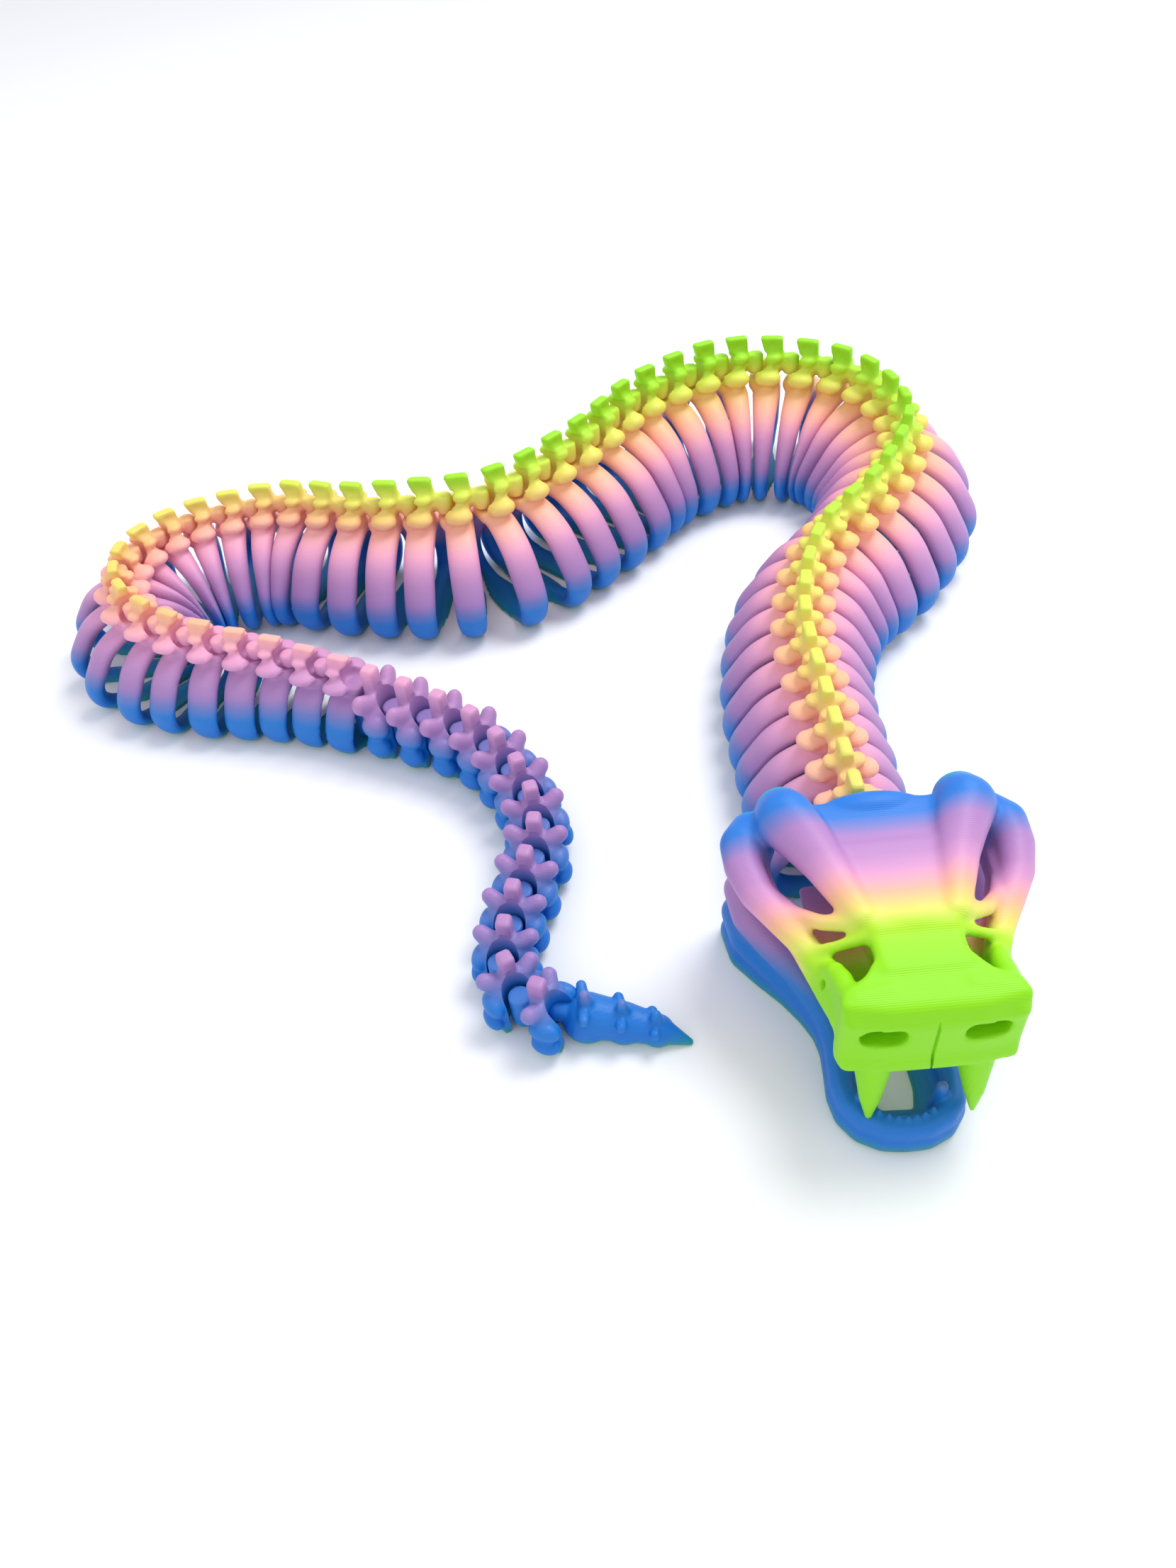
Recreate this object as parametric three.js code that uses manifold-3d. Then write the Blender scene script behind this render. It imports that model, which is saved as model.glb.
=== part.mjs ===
// Articulated snake skeleton toy, printed in place: a chain of ring-shaped rib links
// that lies in an S on its flat feet, with a snapped-on skull and lower jaw.
// Millimetres, +Z up.  The origin is the centre of the footprint, at floor level.
import * as THREE from "three";
import { mergeVertices } from "three/addons/utils/BufferGeometryUtils.js";
import Module from "manifold-3d";

const wasm = await Module();
wasm.setup();
const { Manifold, Mesh: SolidMesh } = wasm;

// ---- driving dimensions --------------------------------------------------------------
const CENTRE = [-7.74, 183.97];   // middle of the footprint, in the frame of the path below
const LINKS = 66;               // links from the neck to the last one before the tip
const TAIL_FROM = 54;           // from this link on the ribs are closed walls
const GAP = 0.3;                // air between two lengths of the chain
// The way the chain lies on the floor, from the neck to the tail tip.
const PATH = [
  [43, 126], [43, 149], [44, 174], [52, 197], [69, 216], [80, 239], [72, 263], [48, 272],
  [22, 261], [3, 240], [-17, 225], [-43, 227], [-67, 235], [-87, 231], [-97, 219], [-95, 205],
  [-83, 195], [-61, 187], [-38, 176], [-19, 163], [-10, 142], [-15, 120], [-16, 110], [-11, 104],
  [-3, 103],
];
// Link spacing: the loose joints stand open where the chain is drawn out.
const PITCH = [[1, 7.4], [9, 7.8], [16, 8.3], [22, 8.8], [28, 8.7], [34, 8.1], [40, 7.4],
  [46, 7], [50, 7.8], [58, 7.8], [66, 7.1]];
// Lengths of the chain: each runs from its first link to the one before the next.
const LENGTHS = [
  ["neck", 1], ["trunk_1", 7], ["trunk_2", 14], ["trunk_3", 20], ["trunk_4", 25],
  ["trunk_5", 30], ["trunk_6", 38], ["trunk_7", 43], ["tail_1", 50], ["tail_2", 55],
  ["tail_3", 61],
];
// Sizes that change along the chain, as [link, value] stations.
const FIN_TOP = [[1, 28], [9, 31], [16, 35], [24, 38], [34, 33.5], [40, 29], [46, 27.5],
  [50, 23], [53, 20.5], [59, 15.8], [66, 13.3]];
const RIB_HALF = [[1, 15], [7, 15.7], [12, 18], [17, 19.5], [24, 19.5], [34, 18.5], [44, 17.5],
  [48, 13], [52, 9], [57, 6.3], [66, 4.8]];
const KNOB_HALF = [[1, 6.6], [20, 6.4], [53, 6.2], [66, 5.4]];
const RIB_THICK = 4.6;          // rib along the chain, at its middle
const RIB_THIN = 3.2;           // rib along the chain, at its widest point and its foot
const FIN_LONG = 3.6;           // fin along the chain
const LEAN = 1.7;               // the rib sits this far tailward of the fin
// The printed colours, by height in the print.
const BAND = { teal: 0x2f8f86, blue: 0x1c6cbe, mauve: 0xb281b6, pink: 0xf6acd1, lime: 0x92c904 };

// ---- small tools ---------------------------------------------------------------------
function along(stations, i) {
  for (let k = 1; k < stations.length; k++) {
    const [a, va] = stations[k - 1];
    const [b, vb] = stations[k];
    if (i <= b) return va + (vb - va) * Math.max(0, (i - a) / (b - a));
  }
  return stations[stations.length - 1][1];
}

function solid(geometry) {
  geometry.deleteAttribute("normal");
  geometry.deleteAttribute("uv");
  const g = mergeVertices(geometry, 1e-4);
  return new Manifold(new SolidMesh({
    numProp: 3,
    vertProperties: new Float32Array(g.attributes.position.array),
    triVerts: new Uint32Array(g.index.array),
  }));
}

function warp(geometry, move) {
  const p = geometry.attributes.position;
  const v = new THREE.Vector3();
  for (let i = 0; i < p.count; i++) {
    move(v.fromBufferAttribute(p, i));
    p.setXYZ(i, v.x, v.y, v.z);
  }
  return geometry;
}

// A tapering round bar through the points [x, y, z, radius], with its ends closed.
function bar(points, sides = 6, squash = 1) {
  const centre = points.map((p) => new THREE.Vector3(p[0], p[1], p[2]));
  const curve = points.length > 2 ? new THREE.CatmullRomCurve3(centre, false, "centripetal")
    : new THREE.LineCurve3(centre[0], centre[1]);
  const steps = points.length - 1;
  const g = new THREE.CylinderGeometry(1, 1, 1, sides, steps);
  warp(g, (v) => {
    const t = Math.min(1, Math.max(0, v.y + 0.5));
    const k = Math.min(points.length - 2, Math.floor(t * (points.length - 1)));
    const r = THREE.MathUtils.lerp(points[k][3], points[k + 1][3], t * (points.length - 1) - k);
    const c = curve.getPoint(t);
    const along_ = curve.getTangent(t);
    const side = new THREE.Vector3().crossVectors(along_, new THREE.Vector3(0, 0, 1));
    if (side.lengthSq() < 1e-6) side.set(1, 0, 0);
    side.normalize();
    const up = new THREE.Vector3().crossVectors(side, along_);
    v.copy(c.addScaledVector(side, -v.x * r).addScaledVector(up, -v.z * r * squash));
  });
  return solid(g);
}

// An outline in X and Z, [x, z] down its right half, mirrored, one unit deep along Y.
function plate(half, hole) {
  const whole = (pts) => [...pts, ...pts.filter((p) => p[0] > 0).reverse().map(([x, z]) => [-x, z])];
  const shape = new THREE.Shape(whole(half).map(([x, z]) => new THREE.Vector2(x, z)));
  if (hole) {
    shape.holes.push(new THREE.Path(whole(hole).reverse().map(([x, z]) => new THREE.Vector2(x, z))));
  }
  const g = new THREE.ExtrudeGeometry(shape, { depth: 1, bevelEnabled: false, curveSegments: 1 });
  return g.rotateX(Math.PI / 2).translate(0, 0.5, 0);
}

function material(colour) {
  return new THREE.MeshStandardMaterial({ color: colour, roughness: 0.45, metalness: 0 });
}

const snake = new THREE.Group();
function add(name, shape, colour) {
  const m = shape.translate([-CENTRE[0], -CENTRE[1], 0]).getMesh();
  const g = new THREE.BufferGeometry();
  g.setAttribute("position", new THREE.BufferAttribute(m.vertProperties, 3));
  g.setIndex(new THREE.BufferAttribute(m.triVerts, 1));
  g.computeVertexNormals();
  const mesh = new THREE.Mesh(g, material(colour));
  mesh.name = name;
  snake.add(mesh);
}

// ---- the chain -----------------------------------------------------------------------
const path = new THREE.CatmullRomCurve3(
  PATH.map(([x, y]) => new THREE.Vector3(x, y, 0)), false, "centripetal");
path.arcLengthDivisions = 960;
const length = path.getLength();

// How far along the path link i is, as a fraction; i may lie between two links.
function station(i) {
  let s = 0.5;
  for (let k = 1; k < i; k++) s += along(PITCH, k) * Math.min(1, i - k);
  return s / length;
}

// Where link i stands: its place on the path and its turn about the upright.
function stand(i) {
  const place = path.getPointAt(station(i));
  const on = path.getTangentAt(station(i));
  return new THREE.Matrix4().makeRotationZ(Math.atan2(on.y, on.x) - Math.PI / 2)
    .setPosition(place);
}

function placed(shape, matrix) {
  return shape.transform(matrix.elements);
}

// Half the thickness a link may have at the distance x from the path, so that it stays
// clear of its neighbour on the head side (-1) or the tail side (1), inside a bend too.
function room(i, x, side) {
  const here = path.getTangentAt(station(i));
  const next = path.getTangentAt(station(i + side));
  const turn = side * (here.x * next.y - here.y * next.x);
  return Math.max(0.5, (along(PITCH, i) + x * turn - GAP) / 2);
}

// The ring of a trunk link, with its knobs and its fin, as one silhouette.
function ribLink(i) {
  const top = along(FIN_TOP, i);
  const w = along(RIB_HALF, i);
  const k = along(KNOB_HALF, i);
  const knob = 0.76 * top;
  const crown = Math.min(0.7 * top, knob - 2.2);
  const outer = [
    [1.1, top], [1.7, knob + 1.6], [k, knob + 1.4], [k, knob - 1.4], [0.42 * w, crown],
    [0.84 * w, 0.6 * top], [w, 0.36 * top], [0.78 * w, 0],
  ];
  const wall = Math.min(4.6, 0.33 * w);
  const inner = [[0.4 * w, crown - 4.4], [w - wall, 0.36 * top], [0.66 * w, 2.4]];
  const g = plate(outer, w > 8 ? inner : null);
  warp(g, (v) => {
    const x = Math.abs(v.x);
    let thick = RIB_THICK;
    if (v.z > top - 4.5 || (v.z > knob - 1.5 && x > 3)) thick = FIN_LONG;
    if (v.z < knob - 2 && (x > 0.75 * w || v.z < 3)) thick = RIB_THIN;
    v.y = Math.sign(v.y) * Math.min(thick / 2, room(i, v.x, Math.sign(v.y)));
    v.y += LEAN * Math.min(1, (top - v.z) / (top - knob));
  });
  return solid(g);
}

// A tail link: a closed wall that widens to a skirt, with knobs that reach headward.
function wallLink(i) {
  const top = along(FIN_TOP, i);
  const w = along(RIB_HALF, i);
  const k = along(KNOB_HALF, i);
  const knob = 0.74 * top;
  const outer = [
    [1.1, top], [1.2, knob + 1], [k, knob + 0.9], [k, knob - 0.9], [0.6 * w, knob - 2],
    [0.75 * w, 0.4 * top], [w, 0.26 * top], [0.92 * w, 0],
  ];
  const g = plate(outer);
  warp(g, (v) => {
    const x = Math.abs(v.x);
    const thick = v.z > knob ? 2.6 : v.z > knob - 1.5 ? 3 : 5;
    const headward = v.z > knob - 1.5 && x > 2 ? 1 : 0;
    v.y = v.y * thick + LEAN * Math.min(1, (top - v.z) / (top - knob)) - headward;
  });
  return solid(g);
}

// The hook that reaches from link i into the cup of the link before it.
function hook(i, reach) {
  const here = path.getPointAt(station(i));
  const there = path.getPointAt(station(i - 1));
  const back = here.clone().lerp(there, reach);
  const z = (n) => 0.8 * along(FIN_TOP, n);
  const r = along([[1, 1.9], [40, 2.2], [66, 1.7]], i);
  const from = here.clone().lerp(there, -0.12);
  return bar([[from.x, from.y, z(i), r], [back.x, back.y, z(i - reach), r]], 4);
}

// The space past the parting plane in front of link i, on its head side or its tail side.
function parting(i, side) {
  const deep = 6;
  const g = new THREE.BoxGeometry(60, deep, 90).translate(0, side * (deep - GAP) / 2 + LEAN, 0);
  return placed(solid(g), stand(i - 0.5));
}

LENGTHS.forEach(([name, first], n) => {
  const last = n + 1 < LENGTHS.length ? LENGTHS[n + 1][1] - 1 : LINKS;
  const pieces = [];
  for (let i = first; i <= last; i++) {
    pieces.push(placed(i < TAIL_FROM ? ribLink(i) : wallLink(i), stand(i)));
    if (i > 1) pieces.push(hook(i, i > first ? 0.8 : 0.3));
  }
  let chain = Manifold.union(pieces);
  if (first > 1) chain = chain.subtract(parting(first, -1));
  chain = chain.subtract(parting(last + 1, 1));
  add(name, chain, n < 9 ? BAND.mauve : BAND.blue);
});

// ---- the tail tip --------------------------------------------------------------------
// One tapering piece with three humps, each with a small fin and two small knobs.
{
  const humps = [[-3.4, 103.4, 9, 4.1], [2.4, 102, 7.5, 3.5], [7.6, 100.4, 6.4, 2.6]];
  const end = [12.6, 98.6];
  const spine = [[-8, 104, 3], ...humps.map(([x, y, , r]) => [x, y, r]), [...end, 0.7]];
  const body = bar(spine.map(([x, y, r]) => [x, y, r * 0.62, r]), 8, 0.72);
  const pieces = [body];
  for (const [x, y, top, r] of humps) {
    pieces.push(bar([[x, y, 2, 1.3], [x + 0.4, y, top, 0.7]], 6));
    pieces.push(bar([[x - 0.4, y - r * 0.8, top - 3.2, 0.8], [x - 0.4, y + r * 0.8, top - 3.2, 0.8]], 5));
  }
  const floor = solid(new THREE.BoxGeometry(60, 60, 20).translate(2, 102, -10));
  add("tail_tip", Manifold.union(pieces).subtract(floor).subtract(parting(LINKS + 1, -1)),
    BAND.blue);
}

// ---- the skull -----------------------------------------------------------------------
// Its own frame: x to its left cheek, y from the rear rim (0) to the snout (41), z height.
const SKULL_AT = [44.3, 122.5];
function skullPlace(shape) {
  return shape.rotate([0, 0, 180]).translate([SKULL_AT[0], SKULL_AT[1], 0]);
}
function mirrored(make) {
  return [make(1), make(-1)];
}
// A slab from its outline in x and y, between two heights.
function slab(half, low, high) {
  const g = plate(half).rotateX(-Math.PI / 2);
  return solid(warp(g, (v) => {
    v.z = v.z > 0 ? high : low;
  }));
}
{
  const parts = [];
  // forehead plate and the bridge of the snout
  parts.push(slab([[9, 0.6], [9.5, 8], [8.5, 20], [7.4, 26.4]], 27, 31.6));
  parts.push(bar([[0, 1, 22.5, 8], [0, 7, 24, 7]], 8));
  parts.push(slab([[6.8, 24], [6.6, 33], [9, 37], [13, 40]], 27, 30.6));
  // muzzle block
  parts.push(slab([[10.2, 31.5], [12.2, 35], [13.3, 39.6], [12.6, 41.2]], 17.6, 29.2));
  for (const s of [1, -1]) {
    // brow ridge, cheek arch, lower rim of the eye and the upright beside the muzzle
    parts.push(bar([[s * 14.6, 1.2, 28.6, 4], [s * 14.6, 5, 29.6, 5.1], [s * 13, 12, 29.6, 4.2],
      [s * 10, 19, 29.3, 3.2], [s * 7.4, 25.4, 29.4, 2.4]], 7));
    parts.push(bar([[s * 18.6, 1.6, 25.4, 3.4], [s * 19.8, 5, 25.6, 4.4], [s * 20.4, 10.5, 25, 3.9],
      [s * 18, 18, 24, 3], [s * 14.2, 26, 23.4, 2.7], [s * 11.4, 34, 22.6, 3]], 7));
    parts.push(bar([[s * 15.4, 7, 24.4, 2], [s * 15.6, 15, 25, 1.8], [s * 12.2, 23, 26.6, 1.8],
      [s * 6.4, 26, 28.8, 1.8]], 5));
    parts.push(bar([[s * 13, 28.6, 23.6, 1.5], [s * 7, 29.6, 28.8, 1.5]], 5));
    // side wall of the upper jaw
    parts.push(bar([[s * 19, 3, 22.5, 2.6], [s * 18.6, 12, 20.6, 2.2], [s * 14.5, 22, 19.4, 2],
      [s * 11, 34, 19.4, 2]], 5));
    // fang
    parts.push(bar([[s * 7.2, 38.2, 19, 2.8], [s * 7.2, 38.4, 14, 2.3], [s * 7.2, 37.4, 10, 1.4],
      [s * 7.2, 36.2, 6.6, 0.3]], 8));
  }
  const cuts = [
    slab([[5.4, 28.5], [8.6, 36.6]], 16, 26),
  ];
  for (const s of [1, -1]) {
    cuts.push(solid(new THREE.BoxGeometry(6.2, 5, 3.2).translate(s * 7.3, 40.6, 24)));
  }
  add("skull", skullPlace(Manifold.union(parts).subtract(Manifold.union(cuts))), BAND.lime);
}

// ---- the lower jaw -------------------------------------------------------------------
// A trough that lies on the floor: a narrow round front and two flanks that rise rearward.
{
  const AT = [44.2, 121.5];
  const half = [[0.01, 45], [5.2, 43.4], [8.4, 41.2], [9.9, 38], [10, 34.5], [9.7, 30], [10.4, 23],
    [13, 17.6], [16.8, 13.6], [20.6, 9.6], [22, 5], [21.6, 1.5]];
  const wall = [[16, 1.5], [15, 8], [11, 13.6], [7.4, 19], [6.2, 26], [6.8, 37], [4, 41], [0.01, 41.8]];
  const slot = [[13, 3], [12, 8], [8.5, 13], [4.4, 19], [2.8, 26], [2.6, 39], [0.01, 40]];
  // A trough with this inner edge, up to the height given at a distance from its rear.
  const trough = (inside, height) => {
    const edge = [...half, ...inside];
    const shape = new THREE.Shape([...edge, ...edge.slice(1, -1).reverse().map(([x, y]) => [-x, y])]
      .map(([x, y]) => new THREE.Vector2(x, y)));
    return solid(warp(new THREE.ExtrudeGeometry(shape, { depth: 1, bevelEnabled: false }), (v) => {
      if (v.z > 0.5) v.z = height(v.y);
    }));
  };
  const rising = (y) => (y > 33 ? 5.6 : THREE.MathUtils.mapLinear(Math.max(y, 4), 33, 4, 5.6, 15));
  const jaw = trough(wall, rising).add(trough(slot, () => 1.8))
    .rotate([0, 0, 180 - 2.6]).translate([AT[0], AT[1], 0]);
  add("lower_jaw", jaw, BAND.blue);
}

export default snake;
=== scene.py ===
import math
import bpy
from mathutils import Matrix, Vector


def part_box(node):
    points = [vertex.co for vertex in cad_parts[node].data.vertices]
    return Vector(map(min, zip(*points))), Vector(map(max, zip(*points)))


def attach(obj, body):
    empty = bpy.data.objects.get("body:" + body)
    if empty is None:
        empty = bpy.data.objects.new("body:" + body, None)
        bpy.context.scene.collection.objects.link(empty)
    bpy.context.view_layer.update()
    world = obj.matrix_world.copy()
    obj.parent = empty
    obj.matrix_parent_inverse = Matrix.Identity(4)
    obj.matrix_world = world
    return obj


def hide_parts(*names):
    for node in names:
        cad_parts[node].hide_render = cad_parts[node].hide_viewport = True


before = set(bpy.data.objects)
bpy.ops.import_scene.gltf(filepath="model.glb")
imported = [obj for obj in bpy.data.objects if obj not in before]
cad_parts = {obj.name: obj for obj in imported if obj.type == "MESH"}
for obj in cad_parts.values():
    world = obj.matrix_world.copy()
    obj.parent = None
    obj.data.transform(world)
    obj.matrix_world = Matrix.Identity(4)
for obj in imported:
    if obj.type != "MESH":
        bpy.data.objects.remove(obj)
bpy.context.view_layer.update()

bpy.ops.object.select_all(action="DESELECT")
MM = 0.001


# --------------------------------------------------------------------------------------
# A rib.  Each trunk link carries one closed hoop of PLA with a thick round section, printed
# standing in place and pressed flat where it stood on the bed.  It is modelled once, and
# every trunk link gets a copy.
RIB_WIDE = 19.5        # half the hoop's width, outside
RIB_TALL = 28.0        # top of the hoop
RIB_ROUND = 2.45       # radius of its section
RIB_LONG = 1.42        # its section is this much longer along the chain than across
HALF_LONG = 3.7        # half the length of chain that a rib takes up
RIB_SOLE = (14.5, 3.7, 1.7)    # half sizes of the flattened foot
RIB_GRAIN = 0.35       # finest feature kept when its parts are fused


def ball(x, y, z, rx, ry=None, rz=None, turn=(0, 0, 0)):
    """A ball or an egg, mm."""
    bpy.ops.mesh.primitive_uv_sphere_add(segments=20, ring_count=12, radius=MM,
                                         location=(x * MM, y * MM, z * MM), rotation=turn)
    made = bpy.context.object
    made.scale = (rx, ry or rx, rz or rx)
    return made


def join(name, parts):
    """The parts as one object at the origin, with their places in its mesh."""
    bpy.ops.object.select_all(action="DESELECT")
    for p in parts:
        p.select_set(True)
    bpy.context.view_layer.objects.active = parts[0]
    bpy.ops.object.transform_apply(location=True, rotation=True, scale=True)
    if len(parts) > 1:
        bpy.ops.object.join()
    made = bpy.context.object
    made.name = made.data.name = name
    return made


def modify(obj, kind, **settings):
    """Adds a modifier to obj and applies it."""
    bpy.context.view_layer.objects.active = obj
    mod = obj.modifiers.new(kind.title(), kind)
    for key, value in settings.items():
        setattr(mod, key, value)
    bpy.ops.object.modifier_apply(modifier=mod.name)


def fuse(obj, grain, rub):
    """One closed skin over the overlapping parts of obj, with its creases rubbed smooth."""
    modify(obj, "REMESH", mode="VOXEL", voxel_size=grain * MM, use_smooth_shade=True)
    if rub:
        modify(obj, "SMOOTH", factor=0.5, iterations=rub)


def stand(obj):
    """Cuts obj off level with the bed."""
    bpy.ops.mesh.primitive_cube_add(size=1, location=(0, 0, -0.5))
    bed = bpy.context.object
    modify(obj, "BOOLEAN", operation="DIFFERENCE", object=bed, solver="EXACT")
    bpy.data.objects.remove(bed, do_unlink=True)


bpy.ops.curve.primitive_bezier_circle_add(radius=RIB_WIDE * MM, rotation=(math.pi / 2, 0, 0))
hoop = bpy.context.object
bpy.ops.object.transform_apply(rotation=True)
bpy.ops.object.mode_set(mode="EDIT")
bpy.ops.curve.select_all(action="SELECT")
bpy.ops.curve.subdivide()
bpy.ops.object.mode_set(mode="OBJECT")
hoop_half = [          # across and up, mm, and the share of the round section there
    (0, 25.6, 0.96), (8.4, 22.6, 1.02), (13.9, 15.8, 1.04), (16.9, 7.8, 1.0), (14.6, 2.8, 0.84),
    (8.5, 1.2, 0.66), (0, 0.9, 0.6),
]
hoop_round = hoop_half + [(-x, z, r) for x, z, r in reversed(hoop_half[1:-1])]
rim = hoop.data.splines[0]
rim.bezier_points.add(len(hoop_round) - len(rim.bezier_points))
for point, (x, z, r) in zip(rim.bezier_points, hoop_round):
    point.co = (x * MM, 0, z * MM)
    point.radius = r
    point.handle_left_type = point.handle_right_type = "AUTO"
hoop.data.bevel_depth = RIB_ROUND * MM
hoop.data.bevel_resolution = 5
hoop.data.resolution_u = 7
bpy.ops.object.convert(target="MESH")
rib = bpy.context.object
bpy.ops.object.mode_set(mode="EDIT")
bpy.ops.mesh.select_all(action="SELECT")
bpy.ops.mesh.remove_doubles(threshold=0.01 * MM)
bpy.ops.mesh.normals_make_consistent(inside=False)
bpy.ops.transform.resize(value=(1, RIB_LONG, 1), center_override=(0, 0, 0))
bpy.ops.object.mode_set(mode="OBJECT")
rib = join("rib", [rib, ball(0, 0, 0.3, *RIB_SOLE)])
fuse(rib, RIB_GRAIN, 1)
stand(rib)

# --------------------------------------------------------------------------------------
# A vertebra.  Printed in one piece with its rib: an upright fin, two small lobes at its
# root, a narrow saddle, a pair of wide knobs, a hook to the head side and a hollow for the
# next hook on the tail side.  Heights here are from the middle of the knobs.
JOINT_GAP = 1.0        # air round a hook
HOOK_R = 1.95
SOCKET_Y = 4.1         # middle of the hollow, tailward of the fin
BONE_GRAIN = 0.3
FIN_GRAIN = 0.2        # the fin has the sharpest edges
SPLAY_ABOVE = 8        # the fin's top widens from here


def pick(obj, test):
    """Selects the vertices of obj that pass the test, and nothing else."""
    bpy.ops.mesh.select_all(action="DESELECT")
    bpy.ops.object.mode_set(mode="OBJECT")
    for v in obj.data.vertices:
        v.select = test(v.co / MM)
    bpy.ops.object.mode_set(mode="EDIT")


def block(x, y, z, sx, sy, sz, turn=(0, 0, 0), bevel=0.0):
    """A box with rounded edges, mm."""
    bpy.ops.mesh.primitive_cube_add(size=MM, location=(x * MM, y * MM, z * MM), rotation=turn)
    made = bpy.context.object
    made.scale = (sx, sy, sz)
    if bevel:
        bpy.ops.object.transform_apply(location=False, rotation=False, scale=True)
        bpy.ops.object.mode_set(mode="EDIT")
        bpy.ops.mesh.select_all(action="SELECT")
        bpy.ops.mesh.bevel(offset=bevel * MM, segments=3, affect="EDGES")
        bpy.ops.object.mode_set(mode="OBJECT")
    return made


def post(x, y, low, high, r, sides=24):
    """An upright round rod from low to high, mm."""
    bpy.ops.mesh.primitive_cylinder_add(vertices=sides, radius=r * MM, depth=(high - low) * MM,
                                        location=(x * MM, y * MM, (low + high) / 2 * MM))
    return bpy.context.object


def limb(points):
    """Tapering rods with round joints through the points (x, y, z, radius)."""
    made = []
    for a, b in zip(points, points[1:]):
        start, end = Vector(a[:3]), Vector(b[:3])
        way = end - start
        bpy.ops.mesh.primitive_cone_add(vertices=20, radius1=a[3] * MM, radius2=b[3] * MM,
                                        depth=way.length * MM, location=(start + end) / 2 * MM,
                                        rotation=way.to_track_quat("Z", "Y").to_euler())
        made.append(bpy.context.object)
    made += [ball(*p) for p in points]
    return made


def carve(obj, name, parts):
    """Cuts the parts out of obj."""
    cutter = join(name, parts)
    fuse(cutter, 0.25, 1)
    modify(obj, "BOOLEAN", operation="DIFFERENCE", object=cutter, solver="EXACT")
    bpy.data.objects.remove(cutter, do_unlink=True)


vertebra_parts = [
    ball(0, 0.7, 1.8, 2.3, 2.2, 4.6), ball(0, 1.6, -2.4, 4.6, 3.2, 2.8),
    ball(0, 0.6, 4.3, 2.5, 2.3, 1.7), block(0, 2.7, -2.6, 6.6, 7.0, 4.4, bevel=1.6),
    block(0, 2.4, -0.4, 7.0, 6.0, 4.8, bevel=1.8),
]
for side in (1, -1):
    vertebra_parts += [
        ball(side * 4.0, 1.1, -0.2, 2.6, 3.0, 1.95), ball(side * 2.4, 1.0, 0.5, 2.6, 2.2, 1.9),
        ball(side * 4.1, 1.9, -0.8, 2.0, 2.9, 1.3), ball(side * 2.1, 0.4, 4.2, 1.8, 2.25, 1.35),
    ]
vertebra_parts += limb([(0, 0.6, 2.7, 1.8), (0, -3.6, 2.5, 1.6)])
vertebra_parts.append(post(0, -SOCKET_Y, -0.6, 4.6, HOOK_R))
vertebra = join("vertebra", vertebra_parts)
fuse(vertebra, BONE_GRAIN, 3)
fin = join("fin", [block(0, 0.1, 6.6, 2.5, 4.4, 5.2, bevel=0.35)])
bpy.ops.object.mode_set(mode="EDIT")
pick(fin, lambda v: v.z > SPLAY_ABOVE)
bpy.ops.transform.resize(value=(0.96, 1.26, 1), center_override=(0, 0, 0))
bpy.ops.transform.translate(value=(0, 0.85 * MM, 0))
bpy.ops.object.mode_set(mode="OBJECT")
fuse(fin, FIN_GRAIN, 1)
carve(fin, "dimples", [ball(side * 1.85, 0.7, 7.3, 1.15, 1.7, 1.05) for side in (1, -1)])
vertebra = join("vertebra", [vertebra, fin])
fuse(vertebra, 0.26, 1)
carve(vertebra, "hollow", [post(0, SOCKET_Y, -1.6, 5.2, HOOK_R + JOINT_GAP)])

# --------------------------------------------------------------------------------------
# The trunk and neck.  Every link is the same rib and vertebra in matte PLA, stretched to
# the size it has at its place, fused into one piece and hooked loosely into its neighbours.
# The chain takes any bend; here it runs from the skull round a wide loop to the tail.
CENTRE = Vector((-7.74, 183.97))    # middle of the lying chain, in the path's own mm
LINKS = 66             # in the whole chain, without the tip
TAIL_FROM = 54         # the first link without a rib hoop
PATH = [               # the way the chain lies, from the skull to the tip
    (43, 126), (43, 149), (44, 174), (52, 197), (69, 216), (80, 239), (72, 263), (48, 272),
    (22, 261), (3, 240), (-17, 225), (-43, 227), (-67, 235), (-87, 231), (-97, 219), (-95, 205),
    (-83, 195), (-61, 187), (-38, 176), (-19, 163), (-10, 142), (-15, 120), (-16, 110), (-11, 104),
    (-3, 103),
]
# each list below gives a size in mm at some links, with the rest in between
PITCH = [(1, 7.4), (9, 7.8), (16, 8.3), (22, 8.8), (28, 8.7), (34, 8.1), (40, 7.4), (46, 7),
         (50, 7.8), (58, 7.8), (66, 7.1)]
FIN_TOP = [(1, 28), (9, 31), (16, 35), (24, 38), (34, 33.5), (40, 29), (46, 27.5), (50, 23),
           (53, 20.5), (59, 15.8), (66, 13.3)]
KNOB_AT = [(1, 22.4), (9, 24.4), (16, 27), (24, 29.2), (34, 25.6), (40, 22.2), (46, 21),
           (50, 17.4), (53, 15.6), (59, 11.7), (66, 9.9)]
RIB_TOP = [(1, 20.6), (9, 22.8), (16, 25.2), (24, 27.4), (34, 23.8), (44, 20.2), (50, 15.6),
           (53, 13.6)]
RIB_HALF = [(1, 15), (7, 15.7), (12, 18), (17, 19.5), (24, 19.5), (34, 18.5), (44, 17.5),
            (48, 13), (52, 9), (57, 6.3), (66, 4.8)]
KNOB_HALF = [(1, 6.4), (20, 6.5), (53, 6.1)]
BONE_LONG = [(1, 0.86), (12, 0.92), (22, 1.0), (34, 0.97), (46, 0.88), (53, 0.9)]    # a share
KNOBS_DRAWN = 6.5      # half the width over the knobs, and the height from the knobs to the
FIN_DRAWN = 9.1        # fin's top, as the vertebra is modelled above
LEAN = 1.7             # the rib sits this far tailward of its fin
LINK_GRAIN = 0.5
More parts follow.
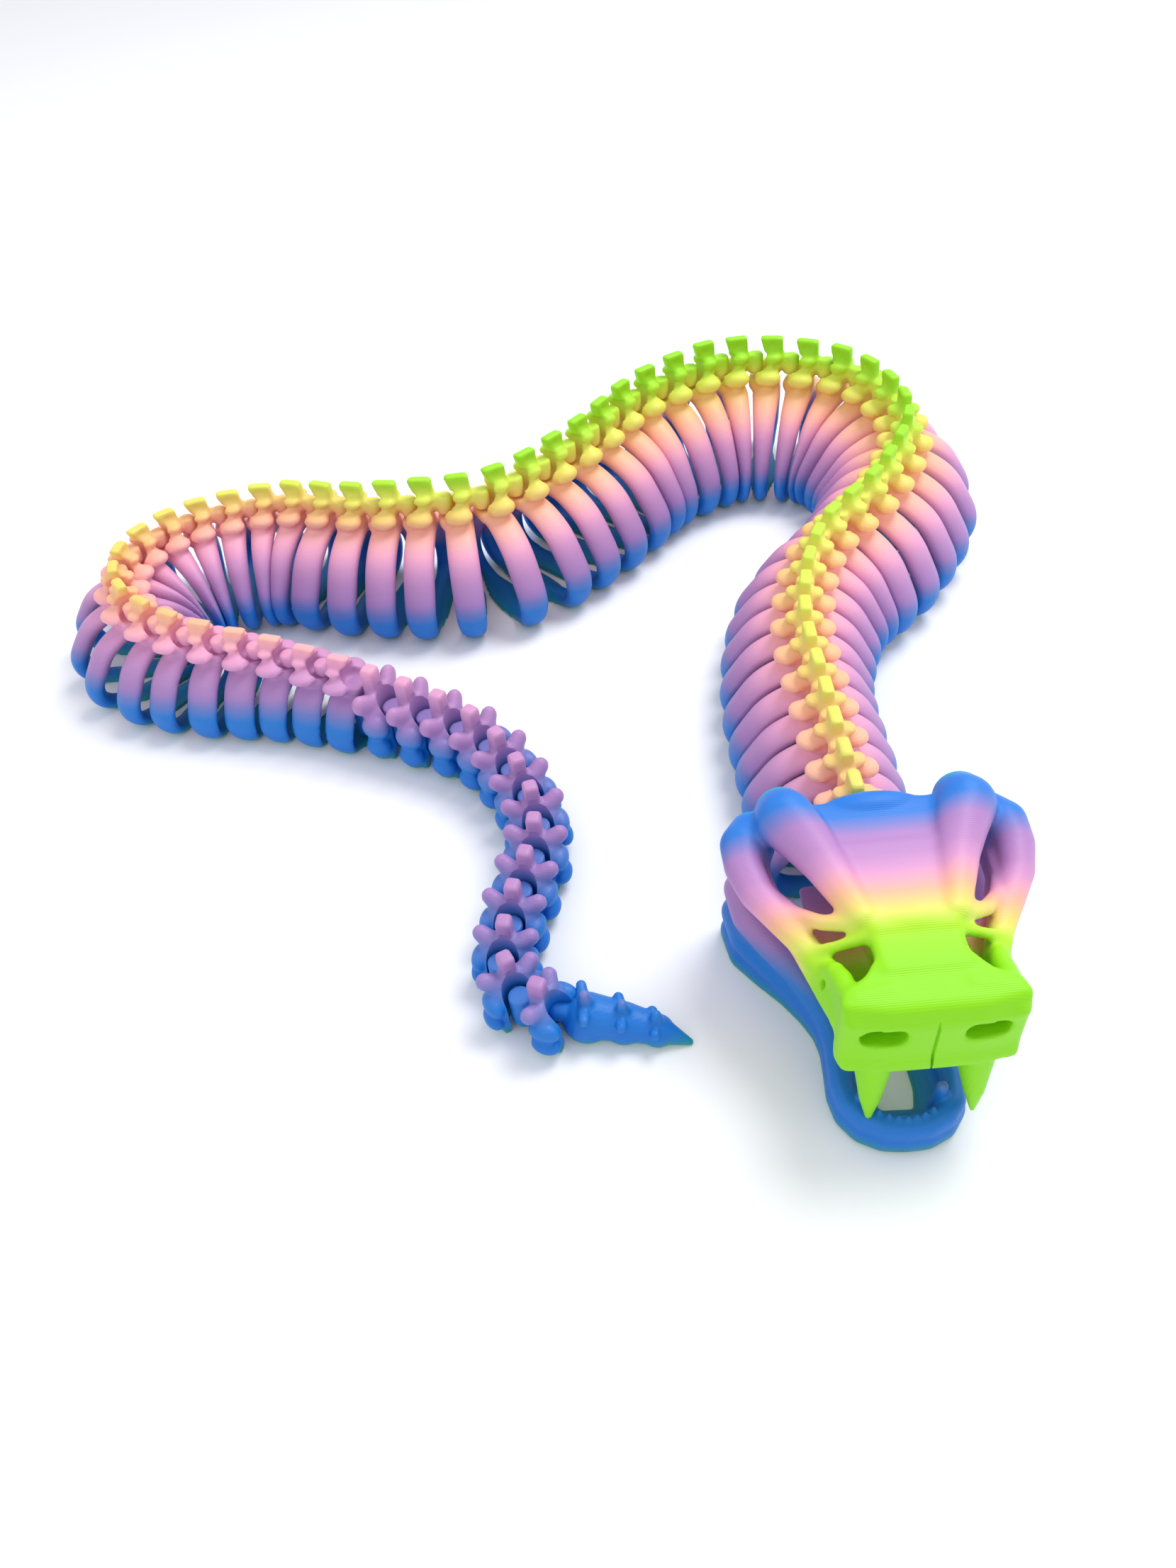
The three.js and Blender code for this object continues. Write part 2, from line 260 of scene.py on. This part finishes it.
LENGTHS = [("neck", 1), ("trunk_1", 7), ("trunk_2", 14), ("trunk_3", 20), ("trunk_4", 25),
           ("trunk_5", 30), ("trunk_6", 38), ("trunk_7", 43), ("tail_1", 50), ("tail_2", 55),
           ("tail_3", 61)]
LAYER = 0.32          # ridge spacing; real layers are 0.2 mm, drawn coarser so they show
BODY_BANDS = [        # height in the print, mm, and the colour laid there
    (0.0, "#1f9880"), (1.3, "#1684b0"), (3.0, "#0e70cc"), (7.2, "#1c78cc"), (9.3, "#6c7cc0"),
    (11.4, "#a680bc"), (14.8, "#bb8abe"), (17.6, "#d698c4"), (19.8, "#f0a8c4"),
    (22.0, "#fbb6ae"), (24.4, "#fbbc92"), (26.4, "#f4cc76"), (28.2, "#ebdc66"), (30.2, "#dde854"),
    (32.0, "#b8e434"), (34.0, "#9cdf16"), (40.0, "#8cd808"),
]
DRIFT = 0.9            # how far a band's edge wanders, mm


def along(stations, i):
    """The value at link i of a size that changes along the chain."""
    for (a, low), (b, high) in zip(stations, stations[1:]):
        if i <= b:
            return low + (high - low) * max(0.0, (i - a) / (b - a))
    return stations[-1][1]


def spread(points, steps=40):
    """A smooth curve through the points, as many short steps with their distances."""
    p = [Vector(q) for q in points]
    p = [2 * p[0] - p[1]] + p + [2 * p[-1] - p[-2]]
    track = []
    for a, b, c, d in zip(p, p[1:], p[2:], p[3:]):
        u, v, w = [(s - t).length ** 0.5 for s, t in ((b, a), (c, b), (d, c))]
        leave = ((b - a) / u - (c - a) / (u + v) + (c - b) / v) * v
        arrive = ((c - b) / v - (d - b) / (v + w) + (d - c) / w) * v
        for k in range(steps):
            t = k / steps
            track.append(b + leave * t + (3 * (c - b) - 2 * leave - arrive) * t * t
                         + (2 * (b - c) + leave + arrive) * t ** 3)
    track.append(p[-2])
    far = [0.0]
    for a, b in zip(track, track[1:]):
        far.append(far[-1] + (b - a).length)
    return track, far


def at(distance):
    """The point of the chain's path at a distance from its start, in the part's frame, mm."""
    k = 0
    while k < len(far) - 2 and far[k + 1] < distance:
        k += 1
    t = (distance - far[k]) / (far[k + 1] - far[k])
    return track[k].lerp(track[k + 1], t) - CENTRE


def heading(distance):
    """The way the chain runs at a distance from its start, as a turn about Z from +Y."""
    ahead = at(distance + 0.6) - at(distance - 0.6)
    return math.atan2(ahead.y, ahead.x) - math.pi / 2


def size(obj, x, y, z, lift=0.0, tailward=0.0):
    """Stretches an object's mesh about its own origin, then moves it."""
    obj.data.transform(Matrix.Translation((0, tailward * MM, lift * MM))
                       @ Matrix.Diagonal((x, y, z, 1)))


def squeeze(obj, i, middle):
    """Thins the side of a link that lies on the inside of the bend, where the links crowd."""
    turn = heading(stations[i - 1] + along(PITCH, i)) - heading(stations[i - 1] - along(PITCH, i))
    turn = math.remainder(turn, math.tau) / 2
    for v in obj.data.vertices:
        room = (along(PITCH, i) * MM + min(0.0, turn * v.co.x)) / 2 - 0.2 * MM
        share = min(1.0, room / (HALF_LONG * MM))
        v.co.y = middle * MM + (v.co.y - middle * MM) * share


def lay(obj, i):
    """Turns and moves a link from the origin to its place in the chain."""
    place = at(stations[i - 1])
    obj.data.transform(Matrix.Translation((place.x * MM, place.y * MM, 0))
                       @ Matrix.Rotation(heading(stations[i - 1]), 4, "Z"))


def length_of(i):
    """The name of the CAD length that link i belongs to."""
    return [name for name, first in LENGTHS if first <= i][-1]


def copy_of(master):
    """A copy of a master with a mesh of its own."""
    twin = master.copy()
    twin.data = master.data.copy()
    bpy.context.scene.collection.objects.link(twin)
    return twin


def linear(colour):
    """An sRGB hex colour as linear red, green, blue and alpha."""
    parts = [int(colour[i:i + 2], 16) / 255 for i in (1, 3, 5)]
    return [c / 12.92 if c <= 0.04045 else ((c + 0.055) / 1.055) ** 2.4 for c in parts] + [1]


def node(tree, kind, settings=(), **links):
    """One shader node with its settings, and its inputs linked or set by name."""
    made = tree.nodes.new(kind)
    for key, value in dict(settings).items():
        setattr(made, key, value)
    for key, value in links.items():
        by_number = key[1:].isdigit()
        socket = made.inputs[int(key[1:]) if by_number else key.replace("_", " ")]
        if isinstance(value, bpy.types.NodeSocket):
            tree.links.new(value, socket)
        else:
            socket.default_value = value
    return made


def filament(name, bands, axis, start, sign):
    """PLA printed along one axis, 0 X, 1 Y or 2 Z, from start in metres."""
    full = bands[-1][0] + 0.5
    made = bpy.data.materials.new(name)
    made.use_nodes = True
    tree = made.node_tree
    shader = tree.nodes["Principled BSDF"]
    place = node(tree, "ShaderNodeTexCoord").outputs["Object"]
    split = node(tree, "ShaderNodeSeparateXYZ", Vector=place)
    height = node(tree, "ShaderNodeMath", {"operation": "MULTIPLY_ADD"}, i0=split.outputs[axis],
                  i1=sign / MM, i2=-sign * start / MM).outputs[0]
    # the pigment drifts a little in the nozzle, so a band's edge is not dead level
    drift = node(tree, "ShaderNodeTexNoise", {"noise_dimensions": "3D"}, Vector=place, Scale=90.0,
                 Detail=1.0).outputs["Fac"]
    drifted = node(tree, "ShaderNodeMath", {"operation": "MULTIPLY_ADD"}, i0=drift, i1=DRIFT,
                   i2=height).outputs[0]
    share = node(tree, "ShaderNodeMath", {"operation": "DIVIDE"}, i0=drifted, i1=full)
    ramp = node(tree, "ShaderNodeValToRGB", i0=share.outputs[0])
    stops = ramp.color_ramp.elements
    while len(stops) < len(bands):
        stops.new(1.0)
    for stop, (level, colour) in zip(stops, bands):
        stop.position = (level + DRIFT / 2) / full
        stop.color = linear(colour)
    tree.links.new(ramp.outputs["Color"], shader.inputs["Base Color"])
    # each layer bulges between two grooves
    layers = node(tree, "ShaderNodeMath", {"operation": "DIVIDE"}, i0=height, i1=LAYER).outputs[0]
    bead = node(tree, "ShaderNodeMath", {"operation": "PINGPONG"}, i0=layers, i1=0.5).outputs[0]
    ridge = node(tree, "ShaderNodeMath", {"operation": "SMOOTH_MIN"}, i0=bead, i1=0.3, i2=0.2)
    bump = node(tree, "ShaderNodeBump", Strength=0.55, Distance=0.00012, Height=ridge.outputs[0])
    tree.links.new(bump.outputs["Normal"], shader.inputs["Normal"])
    shader.inputs["Roughness"].default_value = 0.46
    shader.inputs["IOR"].default_value = 1.46
    shader.inputs["Specular IOR Level"].default_value = 0.42
    return made


def finish_piece(obj, name, paint, slot, *nodes):
    """Names and paints a finished piece, ties it to the root body, and hides the CAD nodes it
    stands for.
    """
    obj.name = obj.data.name = name
    obj.data.materials.clear()
    obj.data.materials.append(paint)
    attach(obj, "root")
    if nodes:
        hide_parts(*nodes)


track, far = spread(PATH)
stations = [0.5]
for link in range(1, LINKS):
    stations.append(stations[-1] + along(PITCH, link))
# PLA printed lying flat: the colour follows the height above the bed
body_pla = filament("PLA_printed_flat", BODY_BANDS, 2, 0.0, 1)
chain = {}
for link in range(1, TAIL_FROM):
    hoop = copy_of(rib)
    size(hoop, along(RIB_HALF, link) / RIB_WIDE, 1, along(RIB_TOP, link) / RIB_TALL,
         tailward=LEAN)
    bone = copy_of(vertebra)
    size(bone, along(KNOB_HALF, link) / KNOBS_DRAWN, along(BONE_LONG, link),
         (along(FIN_TOP, link) - along(KNOB_AT, link)) / FIN_DRAWN, lift=along(KNOB_AT, link))
    squeeze(hoop, link, LEAN)
    made = join("link", [hoop, bone])
    fuse(made, LINK_GRAIN, 2)
    lay(made, link)
    finish_piece(made, f"link_{link:02d}", body_pla, "filament_body")
    chain.setdefault(length_of(link), []).append(made)

# --------------------------------------------------------------------------------------
# The tail links.  Printed like the trunk, in the same PLA.  Past the trunk the ribs shrink
# to a short closed wall with a skirt, the knobs become two arms that reach up and headward,
# and the fin is a blunt upright peg.
TAIL_TALL = 14.0       # the size that the tail link is modelled at, before it is stretched:
TAIL_WIDE = 5.4        # its height, half its width
TAIL_LONG = 7.6        # and its spacing
peg = join("peg", [block(0, -0.1, 11.2, 2.7, 3.1, 5.4, bevel=0.6)])
fuse(peg, 0.25, 2)
wall_parts = [ball(0, 2.0, 5.0, 5.4, 3.5, 4.7), ball(0, 2.1, 2.4, 5.8, 3.5, 3.4),
              block(0, 2.1, 1.1, 7.8, 5.6, 2.2, bevel=0.4), ball(0, 1.6, 7.6, 4.6, 2.7, 2.0)]
for side in (1, -1):
    wall_parts += limb([(0, 0.8, 8.3, 2.1), (side * 2.5, 0.7, 8.7, 1.85),
                        (side * 4.3, 0.0, 9.8, 1.5)])
    wall_parts += [ball(side * 4.2, 2.4, 6.2, 1.7, 2.9, 1.9),
                   ball(side * 4.6, 2.6, 3.0, 1.7, 2.7, 1.7)]
wall_parts += limb([(0, 0.6, 6.0, 2.2), (0, -3.0, 5.8, 1.8)])
wall_parts.append(post(0, -3.7, 1.6, 8.2, 2.1))
wall_link = join("wall_link", wall_parts + [peg])
fuse(wall_link, BONE_GRAIN, 2)
carve(wall_link, "tail_hollow", [post(0, 4.1, -1, 11.5, 2.85)])
stand(wall_link)
for link in range(TAIL_FROM, LINKS + 1):
    made = copy_of(wall_link)
    size(made, (along(RIB_HALF, link) / TAIL_WIDE + 1.0) / 2, along(PITCH, link) / TAIL_LONG,
         along(FIN_TOP, link) / TAIL_TALL)
    lay(made, link)
    finish_piece(made, f"link_{link:02d}", body_pla, "filament_body")
    chain.setdefault(length_of(link), []).append(made)
for name, links in chain.items():
    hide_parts(name)

# --------------------------------------------------------------------------------------
# The tail tip.  One solid piece of the same PLA: a hook, three humps that each carry a
# small fin and two small knobs, and a pointed end that lies on the floor.
# a place on the path, the height of the hump's fin and its radius
TIP_HUMPS = [(-3.4, 103.4, 9.8, 4.3), (2.4, 102.0, 8.4, 3.6), (7.6, 100.4, 7.0, 2.8)]
TIP_END = (12.6, 98.6)
TIP_HOOK = [(-5.2, 103.6), (-8.2, 104.2)]
TIP_GRAIN = 0.25
tip_parts = limb([(x - CENTRE.x, y - CENTRE.y, 0.75 * r, r * 0.9) for x, y, top, r in TIP_HUMPS]
                 + [(TIP_END[0] - CENTRE.x, TIP_END[1] - CENTRE.y, 0.5, 0.6)])
for x, y, top, r in TIP_HUMPS:
    u, v = x - CENTRE.x, y - CENTRE.y
    tip_parts += [ball(u, v, 0.62 * r, r, r, r * 0.9)]
    tip_parts += limb([(u, v, top - 3.2, 1.4), (u - 0.2, v, top - 0.9, 0.9)])
    for side in (1, -1):
        tip_parts += limb([(u - 0.4, v, top - 4.0, 1.3),
                           (u - 0.6, v + side * r * 0.8, top - 3.0, 0.9)])
tip_parts += limb([(x - CENTRE.x, y - CENTRE.y, 4.2, 1.7) for x, y in TIP_HOOK])
tip = join("tail_tip_skin", tip_parts)
fuse(tip, TIP_GRAIN, 3)
stand(tip)
finish_piece(tip, "tail_tip_skin", body_pla, "filament_body", "tail_tip")

# --------------------------------------------------------------------------------------
# The skull.  A thin-walled PLA print with open eye, cheek and nose windows: a forehead
# plate, two thick brows, cheek arches that sweep down to the snout, and a square muzzle with
# two long fangs.  Its own frame here: x across, y forward from the rear rim, z up.
NOSTRIL = (7.1, 24.2)
SKULL_AT = Vector((43.8, 122.5))    # middle of its rear rim, in the path's mm
MUZZLE = (13.6, 9.8, 12.8)          # before its front is flared
FLARE = [              # the muzzle's rows, from and to, and how much wider each is made
    (40.5, 43, 1.82), (38, 40.5, 1.92), (35.5, 38, 1.84), (33, 35.5, 1.26),
]
SKULL_GRAIN = 0.4
FANG_GRAIN = 0.34
SKULL_BANDS = [       # less plastic to a layer, so here the colours change sooner
    (0.0, "#22b4c0"), (1.0, "#1c90dc"), (2.6, "#1478d8"), (6.4, "#2a7cd6"), (8.4, "#7c80c8"),
    (10.4, "#b083c0"), (14.8, "#c08ac2"), (17.6, "#d898c6"), (19.8, "#f2a8b4"),
    (22.0, "#f8b892"), (24.2, "#f2d278"), (25.8, "#e4e468"), (27.6, "#bce832"), (30.0, "#9ce40e"),
    (34.0, "#90e004"), (41.0, "#8cde02"),
]
RIM_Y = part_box("skull")[1][1]       # it was printed standing on its rear rim
skull_pla = filament("PLA_printed_on_its_rear_rim", SKULL_BANDS, 1, RIM_Y, -1)

skull_parts = [
    block(0, 8.6, 28.6, 21, 14, 3.0, bevel=1.0), block(0, 16.5, 29.0, 17, 12, 3.0, bevel=1.0),
    block(0, 24, 29.2, 13.2, 8, 3.0, bevel=1.0), block(0, 30, 28.8, 13.2, 9, 2.4, bevel=0.8),
    ball(0, 2.6, 26.8, 9.5, 3.4, 4.4), ball(0, 10, 23, 8.2, 9, 6.5),
    ball(0, 22, 22.5, 6.0, 9, 6.0),
    block(0, 22, 19.6, 25, 24, 1.6, bevel=0.5), ball(0, 25.6, 29.6, 5.5, 2.4, 1.5),
]
for s in (1, -1):
    # the brow
    skull_parts += limb([(s * 14.0, 1.8, 28.2, 4.3), (s * 13.9, 4.4, 29.4, 4.8),
                         (s * 11.8, 9, 29.6, 4.1), (s * 9.9, 14, 29.4, 3.3),
                         (s * 8.2, 19.5, 29.3, 2.7), (s * 6.6, 24.4, 29.3, 2.2)])
    # the cheek arch, and the thinner strut inside it
    skull_parts += limb([(s * 18.8, 1.8, 24.6, 3.3), (s * 20.5, 5, 25.0, 3.7),
                         (s * 21.0, 9, 24.6, 3.1), (s * 19.8, 14, 24.0, 2.7),
                         (s * 17.0, 19, 23.6, 2.4), (s * 14.2, 24, 23.2, 2.1),
                         (s * 12.0, 29, 22.8, 2.0), (s * 11.2, 36, 22.4, 2.2)])
    skull_parts += limb([(s * 16.0, 2.0, 24.5, 2.0), (s * 18.0, 8, 22.6, 1.2),
                         (s * 17.2, 14, 23.2, 1.15), (s * 15.0, 19, 24.8, 1.2),
                         (s * 12.0, 22.6, 26.8, 1.25), (s * 7.6, 24.6, 28.6, 1.5)])
    # the two short struts before the muzzle
    skull_parts += limb([(s * 13.2, 26.0, 24.4, 1.1), (s * 10.4, 26.8, 26.6, 0.9),
                         (s * 6.6, 27.2, 28.6, 1.1)])
    skull_parts += limb([(s * 12.0, 29.0, 24.4, 1.5), (s * 11.2, 32.5, 26.4, 1.7),
                         (s * 11.2, 36, 27.6, 1.6)])
    skull_parts += [block(s * 11.6, 33.5, 23.6, 2.4, 8, 7, bevel=0.5)]
    # the lower edge of the cheek
    skull_parts += limb([(s * 18.2, 4, 21.5, 2.0), (s * 18.0, 12, 20.4, 1.7),
                         (s * 14.2, 22, 19.6, 1.6), (s * 11.2, 33, 19.2, 1.7)])
    skull_parts += limb([(s * 5.5, 36.5, 28.0, 1.9), (s * 10.6, 37.4, 27.8, 2.1),
                         (s * 11.2, 39.2, 26.6, 1.8)])
skull_parts += limb([(-11.4, 40.3, 17.6, 1.1), (0, 41.0, 17.6, 1.1), (11.4, 40.3, 17.6, 1.1)])
bpy.ops.mesh.primitive_cube_add(size=MM, location=(0, 36.5 * MM, 23.2 * MM))
muzzle = bpy.context.object
muzzle.scale = MUZZLE
muzzle = join("muzzle", [muzzle])
bpy.ops.object.mode_set(mode="EDIT")
bpy.ops.mesh.select_all(action="SELECT")
bpy.ops.mesh.subdivide(number_cuts=3)
for near, far_off, widen in FLARE:
    pick(muzzle, lambda v: near < v.y < far_off)
    bpy.ops.transform.resize(value=(widen, 1, 1), center_override=(0, 0, 0))
pick(muzzle, lambda v: v.y < 34.5 and v.z < 26)
bpy.ops.transform.translate(value=(0, 0, 7 * MM))
pick(muzzle, lambda v: v.y > 40.5 and v.z < 18)
bpy.ops.transform.translate(value=(0, 0.8 * MM, 0))
pick(muzzle, lambda v: v.y > 40.5 and v.z > 28.5)
bpy.ops.transform.translate(value=(0, -1.2 * MM, -0.4 * MM))
pick(muzzle, lambda v: v.y > 40 and abs(v.x) > 11)
bpy.ops.transform.translate(value=(0, -0.9 * MM, 0))
bpy.ops.object.mode_set(mode="OBJECT")
modify(muzzle, "BEVEL", width=1.6 * MM, segments=3, limit_method="ANGLE",
       angle_limit=math.radians(40))
skull_parts.append(muzzle)
skull = join("skull_skin", skull_parts)
fuse(skull, SKULL_GRAIN, 10)
cuts = []
for s in (1, -1):
    cuts.append(block(s * NOSTRIL[0], 41.2, NOSTRIL[1], 6.4, 15, 3.6, bevel=1.5,
                      turn=(0, s * 0.05, 0)))
    cuts.append(ball(s * 8.6, 30.6, 27.2, 1.5, 2.3, 3.2))
    cuts.append(ball(s * 13.0, 31.0, 23.6, 1.6, 0.7, 0.7))
carve(skull, "nostrils_and_side_windows", cuts)
fangs = []
for s in (1, -1):
    fangs += limb([(s * 7.3, 38.6, 18.4, 3.0), (s * 7.3, 39.6, 14.6, 2.6),
                   (s * 7.5, 41.2, 9.6, 1.6), (s * 7.6, 42.4, 5.6, 0.4)])
skull = join("skull_skin", [skull] + fangs)
fuse(skull, FANG_GRAIN, 1)
carve(skull, "middle_groove", [block(0, 41.6, 23, 0.4, 1.2, 16)])
skull_place = (SKULL_AT - CENTRE) * MM
skull.data.transform(Matrix.Translation((skull_place.x, skull_place.y, 0))
                     @ Matrix.Rotation(math.pi, 4, "Z"))
finish_piece(skull, "skull_skin", skull_pla, "filament_skull", "skull")

# --------------------------------------------------------------------------------------
# The lower jaw.  A separate trough of PLA printed flat on the bed: a round narrow front with
# a rolled rim and small teeth, and two flanks that widen and rise to the rear, open between.
# the rim from the middle of the front to the rear: across, forward, up and radius
JAW_LINE = [
    (0, 43.0, 4.4, 1.8), (3.0, 42.7, 4.4, 1.8), (5.8, 41.3, 4.4, 1.8), (7.7, 38.8, 4.4, 1.8),
    (8.3, 35.6, 4.3, 1.8), (8.0, 32, 4.2, 1.9), (7.8, 28, 4.4, 2.0), (8.4, 24.4, 5.0, 2.1),
    (10.0, 20.6, 6.0, 2.3), (12.6, 16.4, 7.4, 2.5), (16.0, 12.2, 9.2, 2.7), (19.0, 8, 11.0, 2.9),
    (19.8, 3, 12.2, 3.0),
]
JAW_AT = Vector((43.7, 121.5))
JAW_TURN = 2.6         # degrees that it lies out of line with the skull
JAW_GRAIN = 0.4
TOOTH_GRAIN = 0.32
jaw_parts = []
for s in (1, -1):
    jaw_parts += limb([(s * x, y, h, r) for x, y, h, r in JAW_LINE])
    jaw_parts += limb([(s * x, y, h * 0.5, r + 0.25) for x, y, h, r in JAW_LINE])
    jaw_parts += limb([(s * (x + 0.2), y, 1.2, r + 0.1) for x, y, h, r in JAW_LINE])
    jaw_parts += limb([(s * (x - 2.2), y - 0.9, 0.4, 2.0) for x, y, h, r in JAW_LINE[1:]])
    jaw_parts += limb([(s * (x - 3.6), y - 1.2, 0.1, 1.5) for x, y, h, r in JAW_LINE[3:]])
jaw_parts += limb([(-4.6, 39.8, 0.1, 1.9), (4.6, 39.8, 0.1, 1.9)])
jaw = join("lower_jaw_skin", jaw_parts)
fuse(jaw, JAW_GRAIN, 4)
teeth = []
for s in (1, -1):
    teeth += limb([(s * 5.6, 38.6, 1.6, 1.5), (s * 5.6, 38.4, 7.8, 0.85)])
for k in range(-3, 4):
    teeth.append(ball(k * 1.3, 42.3 - 0.14 * k * k, 5.9, 0.42, 0.42, 0.8))
jaw = join("lower_jaw_skin", [jaw] + teeth)
fuse(jaw, TOOTH_GRAIN, 1)
stand(jaw)
jaw_place = (JAW_AT - CENTRE) * MM
jaw.data.transform(Matrix.Translation((jaw_place.x, jaw_place.y, 0))
                   @ Matrix.Rotation(math.radians(180 - JAW_TURN), 4, "Z"))
finish_piece(jaw, "lower_jaw_skin", body_pla, "filament_jaw", "lower_jaw")

for master in (rib, vertebra, wall_link):
    bpy.data.objects.remove(master, do_unlink=True)

# --------------------------------------------------------------------------------------
# The floor and the light.  A sheet of matt white paper under a pale studio, with a large
# soft light from the upper right and behind that throws pale shadows to the left and front.
FLOOR_WIDE = 12        # m
ROOM_LIGHT = 0.86
bpy.ops.mesh.primitive_plane_add(size=FLOOR_WIDE, location=(0, 0, 0))
floor = bpy.context.object
floor.name = "floor"
white = bpy.data.materials.new("white_paper")
white.use_nodes = True
paper = white.node_tree.nodes["Principled BSDF"]
paper.inputs["Base Color"].default_value = linear("#fafafa")
paper.inputs["Roughness"].default_value = 0.9
floor.data.materials.append(white)

world = bpy.data.worlds.new("studio")
bpy.context.scene.world = world
world.use_nodes = True
sky = world.node_tree.nodes["Background"]
sky.inputs["Color"].default_value = linear("#f6f8ff")
sky.inputs["Strength"].default_value = ROOM_LIGHT


def softbox(name, place, aim, width, power):
    """A round soft lamp at a place, in metres, turned to what it aims at."""
    bpy.ops.object.light_add(type="AREA", location=place)
    lamp = bpy.context.object
    lamp.name = name
    lamp.data.shape = "DISK"
    lamp.data.size = width
    lamp.data.energy = power
    lamp.rotation_euler = (Vector(aim) - Vector(place)).to_track_quat("-Z", "Y").to_euler()


softbox("key", (0.35, 0.25, 0.75), (0, 0, 0), 0.45, 4.2)
softbox("fill", (-0.3, -0.6, 0.6), (0, 0, 0), 0.6, 0.5)

# --------------------------------------------------------------------------------------
# The camera.  Held in front of the skull at half an arm's length, looking down at 45
# degrees, with a slight turn of the wrist.
CAM_HEIGHT = 158.55    # mm above the floor
CAM_DOWN = 0.7826      # radians below level
CAM_ROLL = -0.0892     # radians
LENS = 26.0            # on a 36 mm upright frame
forward = Vector((0, math.cos(CAM_DOWN), -math.sin(CAM_DOWN)))
upward = Vector((0, math.sin(CAM_DOWN), math.cos(CAM_DOWN)))
right = Vector((1, 0, 0))
turned = math.cos(CAM_ROLL) * right + math.sin(CAM_ROLL) * upward
upright = math.cos(CAM_ROLL) * upward - math.sin(CAM_ROLL) * right
bpy.ops.object.camera_add(location=(-CENTRE.x * MM, -CENTRE.y * MM, CAM_HEIGHT * MM))
camera = bpy.context.object
camera.rotation_euler = Matrix((turned, upright, -forward)).transposed().to_euler()
camera.data.sensor_fit = "VERTICAL"
camera.data.sensor_height = 36
camera.data.lens = LENS
camera.data.clip_start = 0.01
bpy.context.scene.camera = camera
bpy.context.scene.view_settings.view_transform = "Standard"
